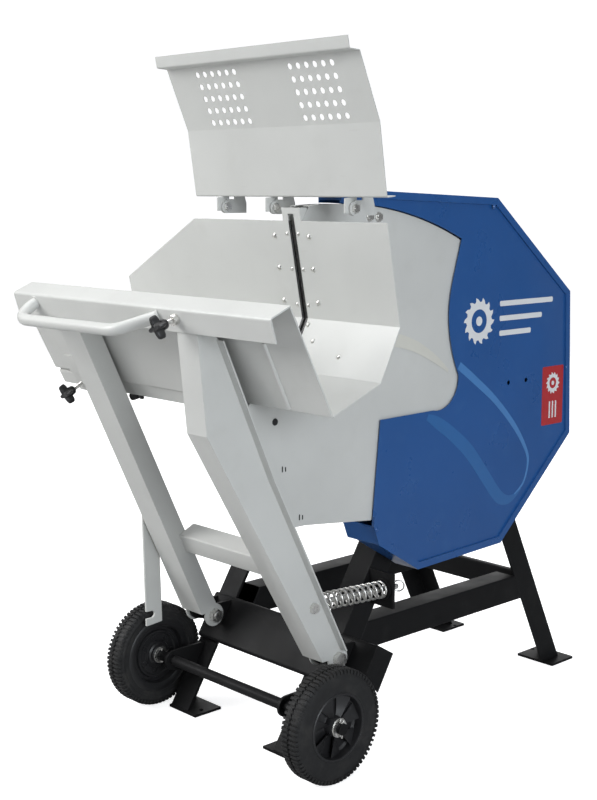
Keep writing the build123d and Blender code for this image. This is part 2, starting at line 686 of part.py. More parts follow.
def knob_data(name):
    """Place on the clamped sheet, outward direction, knob reach and stud depth."""
    if name == "upper":
        line, place = BEAM_FRONT, (189.0, *outside(BEAM_FRONT, 796.0, 0.0))
        return place, outward(line, -1), 30.0, SHEET + 3.9
    if name == "lower":
        place = (-258.0, *outside(FRONT_WALL, 640.0, SHEET + STRAP_THICKNESS))
        return place, outward(FRONT_WALL, 1), 30.0, STRAP_THICKNESS + 5.9
    place = (-150.0, *outside(FLOOR, 672.7, SHEET))
    return place, outward(FLOOR, 1), 42.0, SHEET + RAIL_GAP - 0.1


def outward(line, side):
    direction = unit(*line)
    return (0.0, -side * direction[1], side * direction[0])


def step_out(place, direction, distance):
    return tuple(p + d * distance for p, d in zip(place, direction))


def star_knob(place, direction, reach, depth):
    """Four-lobed clamping knob with its threaded stud."""
    lobes = Circle(11)
    for i in range(4):
        lobes += Rot(0, 0, 90 * i + 20) * Pos(14, 0, 0) * Circle(5.5)
    head = extrude(Plane(origin=step_out(place, direction, reach), z_dir=direction) * lobes, 14)
    neck = rod(step_out(place, direction, reach - 10), step_out(place, direction, reach), 8)
    return head + neck + rod(step_out(place, direction, -depth), step_out(place, direction, reach), STUD)


def knob_boss(place, direction):
    boss = rod(place, step_out(place, direction, 9), 9)
    return boss - rod(place, step_out(place, direction, 9), STUD + RUNNING_GAP)


def stud_hole(name):
    place, direction = knob_data(name)[:2]
    return rod(step_out(place, direction, -5), step_out(place, direction, 2), STUD + RUNNING_GAP)


def clamp_strap():
    """Strap welded to the front wall that hangs down in front of the extension's rail."""
    ends = [(along(FRONT_WALL, z), z) for z in (627.0, 694.0)]
    return folded(ends, (-272.0, -244.0), STRAP_THICKNESS, shift=SHEET) - stud_hole("lower")


HOOK_PIVOT = (-436.0, 392.0)


def hook():
    """Flat transport hook with a notch near its lower end."""
    x = (-180.0, -175.0)
    body = rod_x(HOOK_PIVOT, 18, x) + prism([(-449, 173), (-413, 176), (-418, 392), (-454, 392)], x)
    notch = block(x, (-460, -437), (187, 201)) + rod_x((-437, 194), 7, x)
    return body - notch - rod_x(HOOK_PIVOT, 5 + RUNNING_GAP, x)


def build_cradle():
    save("bed_back_panel", bed_back() - stud_hole("floor"))
    save("bed_front_wall", bed_front())
    save("bed_beam", beam() - stud_hole("upper"))
    left_arm = arm(LEFT_ARM_FRONT, LEFT_ARM_BACK, LEFT_ARM_X, 22) - rod_x(HOOK_PIVOT, 5, (-170, -160))
    save("left_arm", left_arm)
    save("right_arm", right_arm())
    save("arm_cross_tube", cross_tube())
    save("guard_cheek_right", cheek("right", (205.0, CHEEK_X["right"][0]), (CHEEK_X["right"][1], 246.0)))
    save("guard_cheek_left", left_cheek())
    save("slot_liner", slot_liner())
    save("bed_screws", *bed_rivets())
    save("push_handle", handle())
    save("knob_bosses", *[knob_boss(*knob_data(name)[:2]) for name in ("upper", "floor")])
    save("clamp_strap", clamp_strap())
    for name in ("upper", "lower", "floor"):
        save(f"{name}_star_knob", star_knob(*knob_data(name)))
    save("transport_hook", hook())
    hook_bolt = rod_x(HOOK_PIVOT, 5, (-180.5, -164.0)) + hexagon_x(HOOK_PIVOT, 17, (-186.0, -180.5))
    hook_spacer = ring_x(HOOK_PIVOT, 12, 5, (-174.5, LEFT_ARM_X[0]))
    rod_bolt = rod_x(ROD_EYE, 5, (176.0, 229.0)) + hexagon_x(ROD_EYE, 17, (229.0, 235.5))
    save("cradle_bolts", hook_bolt, hook_spacer, rod_bolt)


# ---- log-bed extension and length stop ----------------------------------------------------
def build_extension():
    """Panel nested inside the log bed, and the rail under the floor that guides it."""
    profile = [(-403.5, 750.5), FLOOR_BACK, FLOOR_FRONT, (-588.0, 769.4)]
    save("extension_panel", folded(profile, (-337.0, -20.0), 2.0, 3.0, -3.0))
    gap = SHEET + RAIL_GAP
    flange = (along(FLOOR, 666.5), 666.5)
    foot = (along(FRONT_WALL, 630.0), 630.0)
    rail = folded([flange, FLOOR_FRONT, foot], (-333.0, 49.0), 2.0, 2.0, gap)
    joint = folded([flange, (along(FLOOR, 661.0), 661.0)], (-335.0, -292.0), gap + 1.0, shift=-1.0)
    save("extension_rail", rail + joint)


def build_length_stop():
    """Flat bar that slides along inside the beam, behind its front flange."""
    ends = [(along(BEAM_FRONT, z), z) for z in (804.0, 782.0)]
    save("length_stop_bar", folded(ends, (-266.0, 380.0), 6.0, shift=SHEET + 4.0))


# ---- return spring ------------------------------------------------------------------------
def spring_axis(distance):
    direction = unit(ROD_EYE, ROD_GUIDE)
    return (ROD_X, ROD_EYE[0] + direction[0] * distance, ROD_EYE[1] + direction[1] * distance)


def build_spring():
    eye = ring_x(ROD_EYE, 12, 5 + RUNNING_GAP, (ROD_X - 7, ROD_X + 7))
    reach = math.dist(ROD_EYE, ROD_GUIDE)
    bar = rod(spring_axis(11), spring_axis(reach + 32), ROD_RADIUS) + eye
    bar -= rod_x(ROD_EYE, 5 + RUNNING_GAP, (200, 216))
    washer = (spring_axis(17), spring_axis(20))
    save("spring_washer", rod(*washer, 18) - rod(*washer, ROD_RADIUS))
    coil = Helix(pitch=12.5, height=reach - 32, radius=14.5)
    wire = sweep(Plane(origin=coil @ 0, z_dir=coil % 0) * Circle(2.2), path=coil)
    plane = Plane(origin=spring_axis(22.5), z_dir=Vector(*spring_axis(100)) - Vector(*spring_axis(0)))
    save("return_spring", plane * wire)
    ring = Plane(origin=spring_axis(reach + 37), z_dir=(1, -1, 0)) * Torus(10, 1.5)
    save("spring_rod", bar + ring)


# ---- switch -------------------------------------------------------------------------------
SWITCH_X = (-240.0, -176.0)
SWITCH_Y = 5.0
SWITCH_Z = (418.0, 545.0)
BUTTON_Z = (515.0, 465.0)
BUTTON_RADIUS = 13.0


def button(z, outer, inner, radius):
    """Round button or its pocket, measured inwards from the face of the switch box."""
    return rod((SWITCH_X[0] + outer, SWITCH_Y, z), (SWITCH_X[0] + inner, SWITCH_Y, z), radius)


def build_switch():
    """Switch box under the motor, with its push buttons and the mains inlet below."""
    low, high = SWITCH_Z
    middle = (SWITCH_X[0] + SWITCH_X[1]) / 2
    housing = fillet(block(SWITCH_X, (SWITCH_Y - 45, SWITCH_Y + 45), SWITCH_Z).edges(), 5)
    for z in BUTTON_Z:
        housing -= button(z, -1, 12, BUTTON_RADIUS + 0.2)
    save("switch_housing", housing)
    save("start_button", button(BUTTON_Z[0], -4, 8, BUTTON_RADIUS))
    save("stop_button", button(BUTTON_Z[1], -7, 5, BUTTON_RADIUS))
    bracket = block((SWITCH_X[1], -LEG_X - TUBE / 2), (SWITCH_Y - 55, SWITCH_Y + 55), (low, high + 5))
    save("switch_bracket", bracket)
    inlet = rod((middle, SWITCH_Y, low - 45), (middle, SWITCH_Y, low), 24)
    inlet += rod((middle, SWITCH_Y, low - 52), (middle, SWITCH_Y, low - 45), 28)
    save("mains_inlet", inlet - rod((middle, SWITCH_Y, low - 52), (middle, SWITCH_Y, low - 20), 20))


build_stand()
build_wheels()
build_drive()
build_casing()
build_flap()
build_cradle()
build_extension()
build_length_stop()
build_spring()
build_switch()
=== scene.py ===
import json
import math

import bmesh
import bpy
from mathutils import Matrix, Vector


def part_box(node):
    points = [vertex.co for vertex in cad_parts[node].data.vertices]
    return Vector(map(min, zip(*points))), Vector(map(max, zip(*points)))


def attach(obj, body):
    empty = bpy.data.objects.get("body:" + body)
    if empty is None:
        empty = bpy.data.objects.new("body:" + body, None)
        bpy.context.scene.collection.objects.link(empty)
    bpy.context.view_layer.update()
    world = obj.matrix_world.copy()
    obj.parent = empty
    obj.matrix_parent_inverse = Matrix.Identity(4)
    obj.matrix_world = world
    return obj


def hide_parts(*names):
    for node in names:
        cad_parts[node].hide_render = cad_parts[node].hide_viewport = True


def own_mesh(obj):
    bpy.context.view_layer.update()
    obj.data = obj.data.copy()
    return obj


# Looks for a rocking-cradle log saw. Metres, in the CAD frame: +X along the log bed,
# +Y from the operator towards the blade, +Z up. MM turns millimetres into metres.
MM = 0.001

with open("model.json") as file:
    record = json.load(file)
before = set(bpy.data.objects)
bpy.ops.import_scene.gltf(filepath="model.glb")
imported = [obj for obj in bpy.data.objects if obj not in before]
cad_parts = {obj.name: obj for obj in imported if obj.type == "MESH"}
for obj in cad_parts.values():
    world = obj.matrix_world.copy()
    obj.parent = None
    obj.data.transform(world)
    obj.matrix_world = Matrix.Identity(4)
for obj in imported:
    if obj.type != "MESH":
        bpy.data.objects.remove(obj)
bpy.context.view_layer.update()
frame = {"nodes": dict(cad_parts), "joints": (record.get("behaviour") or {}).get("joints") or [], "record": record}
NODES = frame["nodes"]
JOINTS = {joint["name"]: joint for joint in frame["joints"]}
BEHAVIOUR = frame["record"]["behaviour"]
BODY_OF = {node: body for body, members in BEHAVIOUR["bodies"].items() for node in members}
SLOT_OF = {part["node"]: part["material_slot"] for part in frame["record"]["subparts"]}


# ---- materials ----------------------------------------------------------------------------
class Surface:
    """A principled material whose patterns are built from nodes in object space."""

    def __init__(self, name, roughness, metallic=0.0, coat=0.0, specular=0.5):
        self.material = bpy.data.materials.new(name)
        self.material.use_nodes = True
        self.tree = self.material.node_tree
        self.shader = self.tree.nodes["Principled BSDF"]
        self.shader.inputs["Metallic"].default_value = metallic
        self.shader.inputs["Coat Weight"].default_value = coat
        self.shader.inputs["Coat Roughness"].default_value = 0.12
        self.shader.inputs["Specular IOR Level"].default_value = specular
        self.shader.inputs["Roughness"].default_value = roughness
        self.place = self.tree.nodes.new("ShaderNodeTexCoord").outputs["Object"]

    def node(self, kind, **inputs):
        """Add a node with its inputs fed."""
        node = self.tree.nodes.new(kind)
        for key, value in inputs.items():
            self.feed(node.inputs[key.replace("_", " ")], value)
        return node

    def feed(self, socket, value):
        """Link a socket given as the value, or set anything else."""
        if isinstance(value, bpy.types.NodeSocket):
            self.tree.links.new(value, socket)
        else:
            socket.default_value = value

    def noise(self, size, detail=2.0, stretch=(1, 1, 1)):
        """Noise whose blobs are about size metres across."""
        scaled = self.node("ShaderNodeMapping", Vector=self.place, Scale=stretch)
        texture = self.node("ShaderNodeTexNoise", Scale=1 / size, Detail=detail)
        self.tree.links.new(scaled.outputs["Vector"], texture.inputs["Vector"])
        return texture.outputs["Fac"]

    def span(self, value, low, high, to_low=0.0, to_high=1.0):
        """Map low..high to to_low..to_high, clamped."""
        node = self.node("ShaderNodeMapRange", Value=value)
        limits = {"From Min": low, "From Max": high, "To Min": to_low, "To Max": to_high}
        for key, limit in limits.items():
            node.inputs[key].default_value = limit
        return node.outputs["Result"]

    def times(self, a, b):
        node = self.tree.nodes.new("ShaderNodeMath")
        node.operation = "MULTIPLY"
        self.feed(node.inputs[0], a)
        self.feed(node.inputs[1], b)
        return node.outputs[0]

    def mix(self, share, a, b):
        """Colour a where share is 0 and colour b where it is 1."""
        node = self.tree.nodes.new("ShaderNodeMix")
        node.data_type = "RGBA"
        self.feed(node.inputs[0], share)
        self.feed(node.inputs[6], a if isinstance(a, bpy.types.NodeSocket) else (*a, 1))
        self.feed(node.inputs[7], b if isinstance(b, bpy.types.NodeSocket) else (*b, 1))
        return node.outputs[2]

    def edges(self, radius):
        """1 on sharp edges and 0 on flat faces, from the rounded normal."""
        rounded = self.node("ShaderNodeBevel", Radius=radius)
        true = self.tree.nodes.new("ShaderNodeNewGeometry")
        dot = self.tree.nodes.new("ShaderNodeVectorMath")
        dot.operation = "DOT_PRODUCT"
        self.tree.links.new(rounded.outputs["Normal"], dot.inputs[0])
        self.tree.links.new(true.outputs["Normal"], dot.inputs[1])
        return self.span(dot.outputs["Value"], 0.995, 0.88)

    def rings(self, centre, size):
        """Fine rings about a line along X, as turning or grinding leaves."""
        shifted = self.node("ShaderNodeVectorMath")
        shifted.operation = "SUBTRACT"
        self.feed(shifted.inputs[0], self.place)
        self.feed(shifted.inputs[1], centre)
        flat = self.node("ShaderNodeMapping", Vector=shifted.outputs[0], Scale=(0, 1, 1))
        length = self.tree.nodes.new("ShaderNodeVectorMath")
        length.operation = "LENGTH"
        self.tree.links.new(flat.outputs["Vector"], length.inputs[0])
        texture = self.node("ShaderNodeTexNoise", Scale=1 / size, Detail=3.0)
        texture.noise_dimensions = "1D"
        self.tree.links.new(length.outputs["Value"], texture.inputs["W"])
        return texture.outputs["Fac"]

    def colour(self, value):
        self.feed(self.shader.inputs["Base Color"], value if not isinstance(value, tuple) else (*value, 1))

    def rough(self, value):
        self.feed(self.shader.inputs["Roughness"], value)

    def bump(self, height, distance, strength=1.0):
        """Stack another height pattern on the normal."""
        node = self.node("ShaderNodeBump", Height=height, Distance=distance, Strength=strength)
        before = self.shader.inputs["Normal"].links
        if before:
            self.tree.links.new(before[0].from_socket, node.inputs["Normal"])
        self.tree.links.new(node.outputs["Normal"], self.shader.inputs["Normal"])


def shade(colour, factor):
    return tuple(channel * factor for channel in colour)


def powder_coat(name, colour, worn, roughness, coat, specular=0.5):
    """Sprayed paint: orange peel, slight tone drift, dust in patches and rubbed edges."""
    paint = Surface(name, roughness, coat=coat, specular=specular)
    drift = paint.span(paint.noise(0.22, 3), 0.35, 0.65)
    base = paint.mix(drift, shade(colour, 0.95), shade(colour, 1.03))
    dust = paint.span(paint.noise(0.045, 6), 0.56, 0.78, 0.0, 0.12)
    base = paint.mix(dust, base, worn)
    rubbed = paint.times(paint.edges(1.4 * MM), paint.span(paint.noise(0.018, 4), 0.46, 0.62))
    base = paint.mix(paint.times(rubbed, 0.55), base, worn)
    scratch = paint.span(paint.noise(4 * MM, 2, (0.06, 1, 0.5)), 0.7, 0.76, 0.0, 0.12)
    paint.colour(paint.mix(scratch, base, worn))
    paint.rough(paint.span(paint.noise(0.06, 5), 0.3, 0.7, roughness - 0.05, roughness + 0.09))
    paint.bump(paint.noise(2.2 * MM, 2), 0.12 * MM, 0.5)
    paint.bump(paint.noise(0.16, 1), 0.8 * MM, 0.12)
    return paint.material


def zinc_plate(name, tint, roughness):
    """Zinc plating with faint spangle and handling marks."""
    metal = Surface(name, roughness, metallic=1.0)
    spangle = metal.span(metal.noise(3 * MM, 4), 0.3, 0.7)
    base = metal.mix(spangle, shade(tint, 0.88), tint)
    grime = metal.span(metal.noise(0.012, 5), 0.58, 0.78, 0.0, 0.25)
    metal.colour(metal.mix(grime, base, shade(tint, 0.5)))
    metal.rough(metal.span(metal.noise(4 * MM, 4), 0.3, 0.7, roughness - 0.08, roughness + 0.14))
    metal.bump(metal.noise(0.8 * MM, 2), 0.05 * MM, 0.5)
    return metal.material


def ground_steel(name, centre):
    """Bright steel with fine rings about the arbor and a little tarnish."""
    metal = Surface(name, 0.3, metallic=1.0)
    ring = metal.rings(centre, 0.6 * MM)
    base = metal.mix(metal.span(ring, 0.3, 0.7), (0.42, 0.42, 0.43), (0.62, 0.62, 0.63))
    stain = metal.span(metal.noise(0.05, 6), 0.55, 0.8, 0.0, 0.4)
    metal.colour(metal.mix(stain, base, (0.24, 0.2, 0.16)))
    metal.rough(metal.span(ring, 0.3, 0.7, 0.22, 0.42))
    metal.bump(ring, 0.04 * MM, 0.6)
    return metal.material


def moulded_plastic(name, colour, roughness, grain):
    """Injection-moulded plastic with a fine leathery grain, paler where it is handled."""
    plastic = Surface(name, roughness)
    base = plastic.mix(plastic.noise(0.03, 3), shade(colour, 0.85), shade(colour, 1.2))
    handled = plastic.times(plastic.edges(1.2 * MM), 0.35)
    plastic.colour(plastic.mix(handled, base, shade(colour, 3.0)))
    plastic.rough(plastic.span(plastic.noise(0.01, 4), 0.3, 0.7, roughness - 0.07, roughness + 0.08))
    plastic.bump(plastic.noise(grain, 3), 0.08 * MM, 0.8)
    return plastic.material


def tyre_rubber(name):
    """Moulded rubber with dust in patches, paler scuffed edges and a fine grain."""
    rubber = Surface(name, 0.66, specular=0.32)
    base = rubber.mix(rubber.noise(0.02, 5), (0.012, 0.012, 0.013), (0.022, 0.022, 0.022))
    dust = rubber.span(rubber.noise(0.035, 7), 0.5, 0.75, 0.0, 0.3)
    base = rubber.mix(dust, base, (0.07, 0.065, 0.06))
    scuffed = rubber.times(rubber.edges(1.5 * MM), rubber.span(rubber.noise(0.01, 4), 0.4, 0.65, 0.1, 0.6))
    rubber.colour(rubber.mix(scuffed, base, (0.06, 0.058, 0.056)))
    rubber.rough(rubber.span(rubber.noise(0.015, 5), 0.3, 0.7, 0.55, 0.78))
    rubber.bump(rubber.noise(1.1 * MM, 4), 0.12 * MM, 0.7)
    return rubber.material


def cast_enamel(name, colour):
    """Enamel over a cast motor frame, with the sand texture showing through."""
    enamel = Surface(name, 0.45)
    base = enamel.mix(enamel.noise(0.05, 4), shade(colour, 0.85), shade(colour, 1.15))
    settled = enamel.span(enamel.noise(0.03, 6), 0.52, 0.72, 0.0, 0.25)
    enamel.colour(enamel.mix(settled, base, (0.2, 0.18, 0.15)))
    enamel.bump(enamel.noise(1.6 * MM, 5), 0.3 * MM, 0.8)
    return enamel.material


def printed_film(name, colour):
    """Thin printed foil: glossy, slightly faded, with a fine dot grain."""
    film = Surface(name, 0.32, coat=0.4)
    base = film.mix(film.noise(0.04, 4), shade(colour, 0.93), shade(colour, 1.05))
    speck = film.span(film.noise(1.5 * MM, 4), 0.66, 0.74, 0.0, 0.3)
    film.colour(film.mix(speck, base, shade(colour, 0.7)))
    film.bump(film.noise(3 * MM, 2), 0.05 * MM, 0.4)
    return film.material


ARBOR = Vector(JOINTS["blade_spin"]["pos_m"])
LIGHT_GREY, GREY_WORN = (0.60, 0.605, 0.585), (0.43, 0.425, 0.39)
CASING_BLUE, BLUE_WORN = (0.013, 0.085, 0.285), (0.06, 0.17, 0.38)
STAND_BLACK, BLACK_WORN = (0.009, 0.009, 0.0095), (0.045, 0.044, 0.042)
MATERIALS = {
    "grey_paint": powder_coat("grey_powder_coat", LIGHT_GREY, GREY_WORN, 0.38, 0.12),
    "blue_paint": powder_coat("blue_powder_coat", CASING_BLUE, BLUE_WORN, 0.3, 0.15),
    "black_paint": powder_coat("black_powder_coat", STAND_BLACK, BLACK_WORN, 0.5, 0.0, 0.14),
    "zinc": zinc_plate("zinc_plating", (0.80, 0.79, 0.76), 0.3),
    "steel": ground_steel("ground_steel", ARBOR),
    "motor_paint": cast_enamel("motor_enamel", (0.05, 0.06, 0.07)),
    "black_plastic": moulded_plastic("black_plastic", (0.013, 0.013, 0.014), 0.42, 0.9 * MM),
    "tyre": tyre_rubber("tyre_rubber"),
    "green_button": moulded_plastic("green_button", (0.02, 0.28, 0.06), 0.3, 1.5 * MM),
    "red_button": moulded_plastic("red_button", (0.5, 0.012, 0.012), 0.3, 1.5 * MM),
}
PRINT = {
    "white": printed_film("white_print", (0.78, 0.79, 0.80)),
    "red": printed_film("red_print", (0.46, 0.02, 0.026)),
    "light_blue": printed_film("light_blue_print", (0.06, 0.21, 0.50)),
    "mid_blue": printed_film("mid_blue_print", (0.018, 0.125, 0.36)),
    "cream": printed_film("cream_print", (0.66, 0.65, 0.59)),
}


# ---- mesh building ------------------------------------------------------------------------
def finish_mesh(mesh, material, sharp):
    mesh.materials.clear()
    mesh.materials.append(material)
    mesh.shade_smooth()
    mesh.set_sharp_from_angle(angle=math.radians(sharp))


def add_piece(name, shape, body, slot, material=None, stands_for=(), sharp=35):
    """Turn a bmesh into a piece that rides on a body and takes a slot's finish."""
    mesh = bpy.data.meshes.new(name)
    bmesh.ops.remove_doubles(shape, verts=shape.verts, dist=1e-7)
    bmesh.ops.recalc_face_normals(shape, faces=shape.faces)
    shape.to_mesh(mesh)
    shape.free()
    finish_mesh(mesh, material or MATERIALS[slot], sharp)
    piece = bpy.data.objects.new(name, mesh)
    bpy.context.scene.collection.objects.link(piece)
    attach(piece, body)
    if stands_for:
        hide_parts(*stands_for)
    return piece


def facing(origin, direction):
    """Matrix that puts local Z along direction."""
    turn = Vector(direction).to_track_quat("Z", "Y").to_matrix().to_4x4()
    return Matrix.Translation(origin) @ turn


def bridge(shape, rings, around=True):
    """Quads between neighbouring rings of vertices."""
    for low, high in zip(rings, rings[1:]):
        count = len(low)
        for i in range(count if around else count - 1):
            j = (i + 1) % count
            shape.faces.new((low[i], low[j], high[j], high[i]))


def turned(shape, profile, place, steps=72):
    """Lathe a closed (along, radius) profile around the place's Z axis."""
    rings = []
    for along, radius in [*profile, profile[0]]:
        angles = [2 * math.pi * i / steps for i in range(steps)]
        ring = [place @ Vector((radius * math.cos(a), radius * math.sin(a), along)) for a in angles]
        rings.append([shape.verts.new(point) for point in ring])
    bridge(shape, rings)


def plate(shape, outline, place, low, high):
    """Extrude a closed (u, v) outline from low to high along the place's Z axis."""
    rings = [[shape.verts.new(place @ Vector((u, v, level))) for u, v in outline] for level in (low, high)]
    bridge(shape, rings)
    shape.faces.new(rings[0])
    shape.faces.new(rings[1])


def tube(shape, points, radius, sides=12, closed=False):
    """Round bar along a path."""
    points = [Vector(point) for point in points]
    count = len(points)
    side = None
    rings = []
    for i, point in enumerate(points):
        ahead = points[(i + 1) % count] if closed or i + 1 < count else points[i]
        behind = points[i - 1] if closed or i else points[i]
        along = (ahead - behind).normalized()
        if side is None:
            side = along.orthogonal().normalized()
        side = (side - along * side.dot(along)).normalized()
        other = along.cross(side)
        angles = [2 * math.pi * k / sides for k in range(sides)]
        ring = [point + (side * math.cos(a) + other * math.sin(a)) * radius for a in angles]
        rings.append([shape.verts.new(p) for p in ring])
    if closed:
        rings.append(rings[0])
    bridge(shape, rings)
    if not closed:
        shape.faces.new(rings[0])
        shape.faces.new(rings[-1])


def smooth_path(points, steps=10):
    """Catmull-Rom curve through points of any dimension."""
    padded = [points[0], *points, points[-1]]
    path = []
    for p0, p1, p2, p3 in zip(padded, padded[1:], padded[2:], padded[3:]):
        for i in range(steps):
            t = i / steps
            weights = (-t + 2 * t**2 - t**3, 2 - 5 * t**2 + 3 * t**3)
            weights += (t + 4 * t**2 - 3 * t**3, t**3 - t**2)
            near = (p0, p1, p2, p3)
            path.append([sum(w * p[k] for w, p in zip(weights, near)) / 2 for k in range(len(p1))])
    path.append(list(points[-1]))
    return path


def polygon(radius, corners, turn=0.0):
    angles = [turn + 2 * math.pi * i / corners for i in range(corners)]
    return [(radius * math.cos(a), radius * math.sin(a)) for a in angles]


# ---- CAD nodes with rounded edges ---------------------------------------------------------
ROUNDED = 0.45 * MM
TUBE_CORNER = 3.2 * MM
TUBE_NODES = ("stand_rails", "arm_cross_tube")
PLAIN_NODES = ("saw_blade", "motor_fan_cover", "spring_rod", "bed_screws", "casing_screws", "motor_body")
LONG_EDGE = 60 * MM


def soft_copy(node):
    """Copy a CAD node with its edges broken, as pressed and welded steel has them."""
    shape = bmesh.new()
    shape.from_mesh(NODES[node].data)
    bmesh.ops.remove_doubles(shape, verts=shape.verts, dist=1e-6)
    bmesh.ops.dissolve_limit(
        shape, angle_limit=math.radians(0.4), verts=shape.verts, edges=shape.edges, delimit=set()
    )
    if node in TUBE_NODES:
        corners = [e for e in shape.edges if e.calc_length() > LONG_EDGE and e.is_convex and square(e)]
        bmesh.ops.bevel(shape, geom=corners, offset=TUBE_CORNER, segments=4, profile=0.5, affect="EDGES")
    piece = add_piece(f"{node}_finished", shape, BODY_OF[node], SLOT_OF[node], stands_for=[node])
    soften = piece.modifiers.new("broken_edges", "BEVEL")
    soften.width = ROUNDED
    soften.segments = 2
    soften.limit_method = "ANGLE"
    soften.angle_limit = math.radians(38)
    soften.harden_normals = True
    return piece


def square(edge):
    return len(edge.link_faces) == 2 and edge.calc_face_angle() > math.radians(60)


# ---- wheels -------------------------------------------------------------------------------
LUGS = 72
LUG_HEIGHT = 3.6 * MM
VANES = 7


def mirrored(profile):
    """Complete a half profile that ends next to the middle plane."""
    return [*profile, *[(-along, radius) for along, radius in profile[::-1]]]


def tyre(side):
    """Solid rubber tyre with two staggered rows of lugs."""
    low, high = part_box(f"tyre_{side}")
    centre = (low + high) / 2
    half = (high.x - low.x) / 2
    outer = (high.z - low.z) / 2
    base = outer - LUG_HEIGHT
    place = facing(centre, (1, 0, 0))
    shape = bmesh.new()
    wall = [(half - 3 * MM, 58 * MM), (half - 1 * MM, 59.5 * MM), (half - 0.4 * MM, 63 * MM)]
    wall += [(half - 1.4 * MM, 66 * MM), (half - 0.6 * MM, 72 * MM)]
    wall += [(half, 80 * MM), (half - 0.5 * MM, 87 * MM)]
    wall += [(half - 2.2 * MM, 91.5 * MM), (half - 4.5 * MM, base - 0.6 * MM), (half - 8 * MM, base)]
    groove = [(2.6 * MM, base), (1.8 * MM, base - 1.5 * MM)]
    turned(shape, mirrored(wall + groove), place, 2 * LUGS)
    inward = place if side == "left" else facing(centre, (-1, 0, 0))
    bead = [(half - 2 * MM, 80 * MM), (half - 0.5 * MM, 81 * MM), (half + 0.9 * MM, 84 * MM)]
    bead += [(half + 0.9 * MM, 88 * MM), (half - 0.8 * MM, 91 * MM), (half - 4 * MM, 92 * MM)]
    turned(shape, bead, inward, 96)
    for i in range(LUGS):
        for row, shift in ((-1, 0.0), (1, 0.2)):
            lug(shape, place, row, 2 * math.pi * (i + shift) / LUGS, half, base, outer)
    stands_for = [f"tyre_{side}"]
    return add_piece(f"tyre_{side}_tread", shape, f"{side}_wheel", "tyre", stands_for=stands_for, sharp=50)


def lug(shape, place, row, angle, half, base, outer):
    """Square tread block that runs from the groove over the shoulder."""
    pitch = 2 * math.pi / LUGS
    sections = [(2.2 * MM, outer - 0.2 * MM), (half - 5 * MM, outer), (half - 2 * MM, outer - 1.2 * MM)]
    sections.append((half - 0.6 * MM, outer - 4.5 * MM))
    root = base - 5 * MM
    rings = []
    for along, top in sections:
        ring = []
        for share, radius in ((-0.3, root), (-0.25, top), (0.25, top), (0.3, root)):
            turn = angle + share * pitch
            ring.append(place @ Vector((radius * math.cos(turn), radius * math.sin(turn), row * along)))
        rings.append([shape.verts.new(point) for point in ring])
    bridge(shape, rings)
    shape.faces.new(rings[0])
    shape.faces.new(rings[-1])


RIM, RIM_INNER, BARREL, BORE = 59.9 * MM, 54.5 * MM, 17.5 * MM, 10.05 * MM


def hub(side):
    """Moulded wheel centre: pitched vanes on the outside, a stepped disc on the inside."""
    low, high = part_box(f"hub_{side}")
    half = (high.x - low.x) / 2
    outward = 1 if side == "right" else -1
    place = facing((low + high) / 2, (outward, 0, 0))
    profile = [(half - 1.5 * MM, RIM), (half - 0.2 * MM, RIM - 2 * MM)]
    profile += [(half - 0.6 * MM, RIM_INNER + 1 * MM)]
    profile += [(half - 3 * MM, RIM_INNER), (4 * MM, RIM_INNER - 1 * MM), (1 * MM, RIM_INNER - 5 * MM)]
    profile += [(1 * MM, BARREL + 6 * MM), (3 * MM, BARREL + 1.5 * MM), (half - 3 * MM, BARREL - 1 * MM)]
    profile += [(half - 1 * MM, BARREL - 3 * MM), (half - 1 * MM, BORE)]
    profile += [(-half, BORE), (-half, 15 * MM), (1.5 * MM - half, 17 * MM), (6 * MM - half, 18 * MM)]
    profile += [(8 * MM - half, 21 * MM), (7 * MM - half, 26 * MM), (10 * MM - half, 28 * MM)]
    profile += [(10 * MM - half, 40 * MM), (8 * MM - half, 42 * MM), (8 * MM - half, 46 * MM)]
    profile += [(12 * MM - half, 48 * MM), (12 * MM - half, 54 * MM), (2.5 * MM - half, 57 * MM)]
    profile += [(1.2 * MM - half, RIM)]
    shape = bmesh.new()
    turned(shape, profile, place, 96)
    flange = [(1 * MM - half, RIM - 3 * MM), (-half, RIM - 1 * MM), (-0.9 * MM - half, 64 * MM)]
    flange += [(-0.9 * MM - half, 70 * MM), (0.6 * MM - half, 73 * MM), (3 * MM - half, 73 * MM)]
    turned(shape, flange, place, 96)
    for i in range(VANES):
        vane(shape, place, 2 * math.pi * i / VANES, half)
        pocket(shape, place, 2 * math.pi * (i + 0.5) / VANES, 10 * MM - half)
    stands_for = [f"hub_{side}"]
    return add_piece(f"hub_{side}_moulding", shape, f"{side}_wheel", "black_plastic", stands_for=stands_for)


def vane(shape, place, angle, half):
    """Broad pitched vane between barrel and rim, one edge near the face and one deep."""
    rings = []
    for radius in (BARREL - 1 * MM, 26 * MM, 38 * MM, 50 * MM, RIM_INNER + 0.5 * MM):
        width = math.radians(20 + 320 * (radius - BARREL))
        ring = []
        for share, level in ((0.0, half - 7 * MM), (1.0, 5 * MM), (1.0, 1.5 * MM), (0.12, half - 11 * MM)):
            turn = angle + share * width
            ring.append(place @ Vector((radius * math.cos(turn), radius * math.sin(turn), level)))
        rings.append([shape.verts.new(point) for point in ring])
    bridge(shape, rings)
    shape.faces.new(rings[0])
    shape.faces.new(rings[-1])


